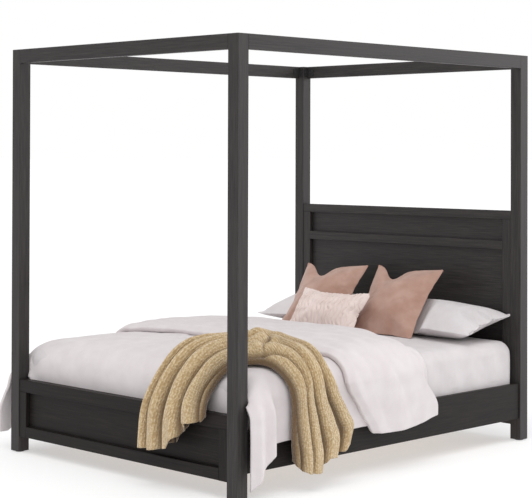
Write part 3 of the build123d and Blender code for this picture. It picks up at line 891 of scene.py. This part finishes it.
def make_throw():
    """A chunky knitted throw with its long edges turned under, gathered lengthwise into deep soft
    folds, from over the footboard, round the corner of the mattress, to down the right side."""
    rows, columns = 190, 250
    obj = cloth_grid("knitted_throw", columns, rows)
    far, near = evenly(THROW_FAR, rows), evenly(THROW_NEAR, rows)
    t = np.linspace(0, 1, rows)   # from the hem at the foot to the hem at the side
    on_top = ease(0.20, 0.36, t) * (1 - ease(0.60, 0.78, t))
    first = 1.15 + 0.22 * np.sin(2 * math.pi * (1.2 * t + 0.1)) + ease(0.36, 0.66, t)
    tall = 0.062 - 0.008 * on_top - 0.010 * ease(0.62, 0.8, t)
    v = np.zeros((rows, columns))
    lift = np.zeros((rows, columns))
    for row in range(rows):
        width = np.linalg.norm(far[row] - near[row])
        u, up = pleat_section(first[row], width, tall[row])
        run = np.concatenate([[0], np.cumsum(np.hypot(np.diff(u) * width, np.diff(up)))])
        want = np.linspace(0, run[-1], columns)
        v[row], lift[row] = np.interp(want, run, u), np.interp(want, run, up)
    t, on_top = t[:, None], on_top[:, None]
    place = far[:, None, :] * (1 - v[..., None]) + near[:, None, :] * v[..., None]
    arch = np.sin(math.pi * np.clip(v, 0, 1))
    # the folds sway to and fro along the strip, most where they are gathered on top
    sway = 0.012 * ripple(2.0 * v, 2.4 * t, 35, longest=0.7, shortest=0.25) * (1 + on_top)
    place = place + 0.7 * (sway * arch)[..., None]
    base = throw_base(place)
    step_s, step_r = np.array([[0.004, 0], [0, 0.004]])
    along_s = throw_base(place + step_s) - throw_base(place - step_s)
    along_r = throw_base(place + step_r) - throw_base(place - step_r)
    outward = np.cross(along_s, along_r)
    outward /= np.linalg.norm(outward, axis=-1, keepdims=True)
    raised = ease(UNDER_LAYER, VALLEY + 0.02, lift)
    bunch = 0.006 * on_top * arch**0.7
    bunch = bunch + 0.014 * np.exp(-(((t - 0.50) / 0.08) ** 2) - ((v - 0.30) / 0.25) ** 2)
    # where it is scrunched together at the corner of the bed, short folds cross the long ones
    cross = np.abs(np.sin(math.pi * ((t - 0.48) / 0.075 + 1.1 * v))) ** 0.8 - 0.6
    cross = cross * np.exp(-(((t - 0.48) / 0.055) ** 2)) * arch**0.7
    bunch = bunch + 0.042 * cross
    small_folds = 0.008 * ripple(4.0 * v, 2.2 * t, 36, longest=0.8, shortest=0.3, terms=9)
    lift = lift + raised * (bunch + small_folds * (0.7 + 0.6 * on_top))
    co = base + outward * lift[..., None]
    # 1 deep between the folds and in the short crossing folds: the share of painted shade there
    fold_shade_share = np.maximum(ease(VALLEY + 0.046, VALLEY + 0.006, lift), ease(-0.05, -0.35, cross))
    # each fold ends at its own height, and the layer below it a little higher
    hem_foot = np.interp(v[0], *np.array(THROW_HEM_FOOT).T) + 0.020 * (1 - raised[0])
    hem_side = np.interp(v[-1], *np.array(THROW_HEM_SIDE).T) + 0.020 * (1 - raised[-1])
    start, end = co[:1, :, 2].copy(), co[-1:, :, 2].copy()
    co[..., 2] += (hem_foot - start) * (1 - ease(0.0, 0.20, t))
    co[..., 2] += (hem_side - end) * ease(0.80, 1.0, t)
    co[..., 0] = np.minimum(co[..., 0], THROW_OUT)
    co[..., 1] = np.maximum(co[..., 1], THROW_FORWARD)
    put(obj, co)
    size_uv(obj, 1.27, 1.52)
    # the share of painted fold shade is kept on the mesh for the material
    painted_fold_shade = obj.data.attributes.new("painted_fold_shade", "FLOAT", "POINT")
    painted_fold_shade.data.foreach_set("value", fold_shade_share.ravel().astype(np.float32))
    shade(obj)
    modify(obj, "SOLIDIFY", thickness=KNIT_THICK, offset=0.0, use_even_offset=False)
    shade(obj)
    obj.data.materials.append(KNIT)
    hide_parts("throw_blanket")
    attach(obj, "throw_blanket")
    return obj


# --- pillows and cushions ---------------------------------------------------------------------
def sewn_pouch(name, width, height, spacing, thick):
    """Two rectangles of cloth sewn together round the edge and blown up: the sides pull in, the
    corners stay pointed and the seam puckers. It lies in the XY plane with its middle at the
    origin, spacing is that of its points, and thick is its thickness at most."""
    columns, rows = int(width / spacing) + 1, int(height / spacing) + 1
    front = cloth_grid(name, columns, rows)
    x, y = np.meshgrid(
        np.linspace(-width / 2, width / 2, columns), np.linspace(-height / 2, height / 2, rows)
    )
    swell = 0.004 * (1 - (2 * x / width) ** 6) * (1 - (2 * y / height) ** 6)
    jitter = 0.0012 * ripple(x, y, 41, longest=0.12, shortest=0.03, terms=9)
    put(front, np.stack([x, y, swell + jitter * (swell > 1e-6)], -1))
    size_uv(front, width, height)
    back = front.copy()
    back.data = front.data.copy()
    scene.collection.objects.link(back)
    co = points_of(back)
    co[:, 2] *= -1
    put(back, co)
    back.data.flip_normals()
    only(front)
    back.select_set(True)
    bpy.ops.object.join()
    bpy.ops.object.mode_set(mode="EDIT")
    bpy.ops.mesh.select_all(action="SELECT")
    bpy.ops.mesh.remove_doubles(threshold=0.0005)
    bpy.ops.object.mode_set(mode="OBJECT")
    face_out(front)
    flat = points_of(front)
    cloth = front.modifiers.new("Cloth", "CLOTH")
    cloth.settings.quality = 6
    cloth.settings.mass = 0.15
    cloth.settings.tension_stiffness = 18
    cloth.settings.compression_stiffness = 12
    cloth.settings.bending_stiffness = 0.15
    cloth.settings.use_pressure = True
    cloth.settings.uniform_pressure_force = PRESSURE
    cloth.settings.effector_weights.gravity = 0
    cloth.collision_settings.use_collision = False
    cloth.point_cache.frame_start = 1
    cloth.point_cache.frame_end = SETTLE
    for now in range(1, SETTLE + 1):
        scene.frame_set(now)
    only(front)
    bpy.ops.object.modifier_apply(modifier=cloth.name)
    scene.frame_set(1)
    co = points_of(front)
    # thinned to its real thickness, and its outline let out again by a power of that share
    share = thick / 2 / np.abs(co[:, 2]).max()
    co[:, :2] = flat[:, :2] + (co[:, :2] - flat[:, :2]) * min(share, 1) ** PULL
    co[:, 2] *= share
    put(front, co)
    modify(front, "SUBSURF", levels=1, render_levels=1)
    shade(front)
    return front


def lay(obj, tilt, middle):
    """Turn a pad about X and put its middle in place, in its mesh."""
    obj.data.transform(Matrix.Translation(middle) @ Matrix.Rotation(tilt, 4, "X"))
    obj.data.update()


def rest_on(obj, level, soft=0.02):
    """Press a pad flat where it would go below a level."""
    co = points_of(obj)
    low = level + soft * np.exp(np.minimum(co[:, 2] - level - soft, 0) / soft)
    co[:, 2] = np.where(co[:, 2] < level + soft, np.maximum(low, level), co[:, 2])
    put(obj, co)


def make_pillow(side):
    """A sleeping pillow in a plain cotton case, lying flat behind the cushions with its crown
    against the headboard."""
    name = "pillow_right" if side > 0 else "pillow_left"
    low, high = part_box(name)
    middle_x = (low.x + high.x) / 2
    obj = sewn_pouch(name + "_case", 0.77, 0.47, 0.0105, 0.205)
    co = points_of(obj)
    # the filling sinks to the middle and the ends thin out
    co[:, 2] *= 1 - 0.10 * (co[:, 0] / 0.4) ** 2
    put(obj, co)
    lay(obj, math.radians(11), (middle_x - side * 0.030, 0.838, 0.632))
    co = points_of(obj)
    x, y, z = co.T
    # the thin corners droop a little
    corner = ease(0.22, 0.40, np.abs(x - middle_x)) * ease(0.05, 0.22, np.abs(y - 0.835))
    z = z - 0.008 * corner
    # the cushion that leans on it, whose back goes through this place, presses its front down
    cushion_y, cushion_z, half_thick = 0.804, 0.6875, 0.012
    n = (math.cos(LEAN), -math.sin(LEAN))
    depth = (y * n[0] + z * n[1]) - (cushion_y * n[0] + cushion_z * n[1] + half_thick)
    over = np.minimum(depth, 0)
    under = ease(0.46, 0.36, np.abs(x))
    y = y - over * n[0] * under
    z = z - over * n[1] * under
    # its rear stays clear of the head posts, so that it can be drawn out past them
    y = np.minimum(y, HEAD_POST_FACE - 0.008)
    put(obj, np.stack([x, y, z], 1))
    rest_on(obj, MATTRESS_HIGH.z + 0.008)
    obj.data.materials.append(CASE)
    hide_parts(name)
    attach(obj, name)
    return obj


def make_rose_cushion(side):
    """A square feather cushion in rose linen, pointed at the corners, leaning back on the pillow.
    The left one has slumped a little to its outer side."""
    name = "cushion_right" if side > 0 else "cushion_left"
    low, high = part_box(name)
    obj = sewn_pouch(name + "_cover", 0.485, 0.485, 0.0085, 0.130)
    co = points_of(obj)
    # the face that is seen is fuller than the back, which rests on the pillow
    co[:, 2] = np.where(co[:, 2] > 0, co[:, 2] * 1.12, co[:, 2] * 0.80)
    # a hand's chop at the top: the upper edge sags between its two corners
    chop = np.exp(-(((co[:, 0] + 0.090) / 0.070) ** 2))
    co[:, 1] -= 0.074 * ease(0.04, 0.24, co[:, 1]) * chop
    co[:, 2] *= 1 - 0.32 * ease(-0.06, 0.16, co[:, 1]) * chop
    # soft creases that run down from the chop and up from the seat
    creases = 0.0035 * ripple(co[:, 0], co[:, 1] * 0.45, 43, longest=0.16, shortest=0.05, terms=9)
    co[:, 2] += creases * ease(0.005, 0.03, co[:, 2])
    put(obj, co)
    slump, down = (math.radians(1.8), 0.016) if side < 0 else (0.0, 0.006)
    obj.data.transform(Matrix.Rotation(slump, 4, "Z"))
    lay(obj, math.pi / 2 - LEAN, (low + high) / 2 - Vector((0, 0, down)))
    rest_on(obj, MATTRESS_HIGH.z + 0.006)
    obj.data.materials.append(ROSE)
    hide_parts(name)
    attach(obj, name)
    return obj


def make_lumbar():
    """A small oblong cushion in blush cotton, ruched all over in wandering upright gathers."""
    low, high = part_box("lumbar_cushion")
    obj = sewn_pouch("lumbar_cushion_cover", 0.52, 0.305, 0.006, 0.118)
    co = points_of(obj)
    x, y, z = co.T
    # gathers 28 mm apart that wander, fade in places and stop short of the seam
    wander = 0.022 * ripple(x, y, 51, longest=0.10, shortest=0.035, terms=9)
    gather = np.abs(np.sin(math.pi * (x + wander) / 0.028)) ** 0.6
    patchy = 0.60 + 0.60 * ripple(x, y, 52, longest=0.09, shortest=0.035, terms=7)
    inside = ease(0.252, 0.225, np.abs(x)) * ease(0.150, 0.125, np.abs(y))
    z = z + np.sign(z) * 0.017 * (gather - 0.55) * patchy * inside
    z = np.where(z < 0, z * 0.85, z * 1.1)
    put(obj, np.stack([x, y, z], 1))
    lay(obj, math.pi / 2 - LEAN, (low + high) / 2 - Vector((0, 0, 0.008)))
    rest_on(obj, MATTRESS_HIGH.z + 0.004)
    obj.data.materials.append(BLUSH)
    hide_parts("lumbar_cushion")
    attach(obj, "lumbar_cushion")
    return obj


# --- floor, light and camera --------------------------------------------------------------------
def make_studio():
    """A plain pale floor and soft light from all round, with a broad lamp overhead and one behind
    the bed's right side."""
    bpy.ops.object.select_all(action="DESELECT")
    bpy.ops.mesh.primitive_plane_add(size=FAR_AWAY)
    floor = bpy.context.object
    floor.name = "studio_floor"
    material, tree, surface = finish_named("pale_floor")
    surface.inputs["Base Color"].default_value = colour("#c8c8c8")
    surface.inputs["Roughness"].default_value = 0.95
    surface.inputs["Emission Color"].default_value = (1, 1, 1, 1)
    surface.inputs["Emission Strength"].default_value = FLOOR_GLOW
    surface.inputs["Specular IOR Level"].default_value = 0.0
    floor.data.materials.append(material)
    world = bpy.data.worlds.new("studio")
    world.use_nodes = True
    tree = world.node_tree
    tree.nodes.clear()
    seen = node(tree, "ShaderNodeLightPath").outputs["Is Camera Ray"]
    strength = node(
        tree, "ShaderNodeMapRange", {"Value": seen, "To Min": ROOM_LIGHT, "To Max": 1.0}
    ).outputs[0]
    light = node(tree, "ShaderNodeBackground", {"Color": (1, 1, 1, 1), "Strength": strength})
    node(tree, "ShaderNodeOutputWorld", {"Surface": light.outputs[0]})
    scene.world = world
    for name, (strength, spread, source) in LAMPS.items():
        sun = bpy.data.lights.new(name, "SUN")
        sun.energy = strength
        sun.angle = math.radians(spread)
        obj = bpy.data.objects.new(name, sun)
        obj.rotation_euler = (-Vector(source)).to_track_quat("-Z", "Y").to_euler()
        scene.collection.objects.link(obj)


def make_camera():
    """Stands off the foot's right corner at eye height and looks level, along the diagonal."""
    camera = bpy.data.cameras.new("camera")
    camera.sensor_width = 36
    camera.lens = LENS
    camera.shift_y = RISE
    camera.clip_end = FAR_AWAY
    obj = bpy.data.objects.new("camera", camera)
    scene.collection.objects.link(obj)
    forward = Vector(LOOKS_ALONG)
    turned = forward.to_track_quat("-Z", "Y").to_matrix().to_4x4()
    roll = Matrix.Rotation(ROLL, 4, forward)
    obj.matrix_world = Matrix.Translation(EYE) @ roll @ turned
    scene.camera = obj


finish_frame()
make_mattress()
make_duvet()
make_fold()
make_throw()
for side in (-1, 1):
    make_pillow(side)
    make_rose_cushion(side)
make_lumbar()
make_studio()
make_camera()
scene.view_settings.view_transform = "Standard"
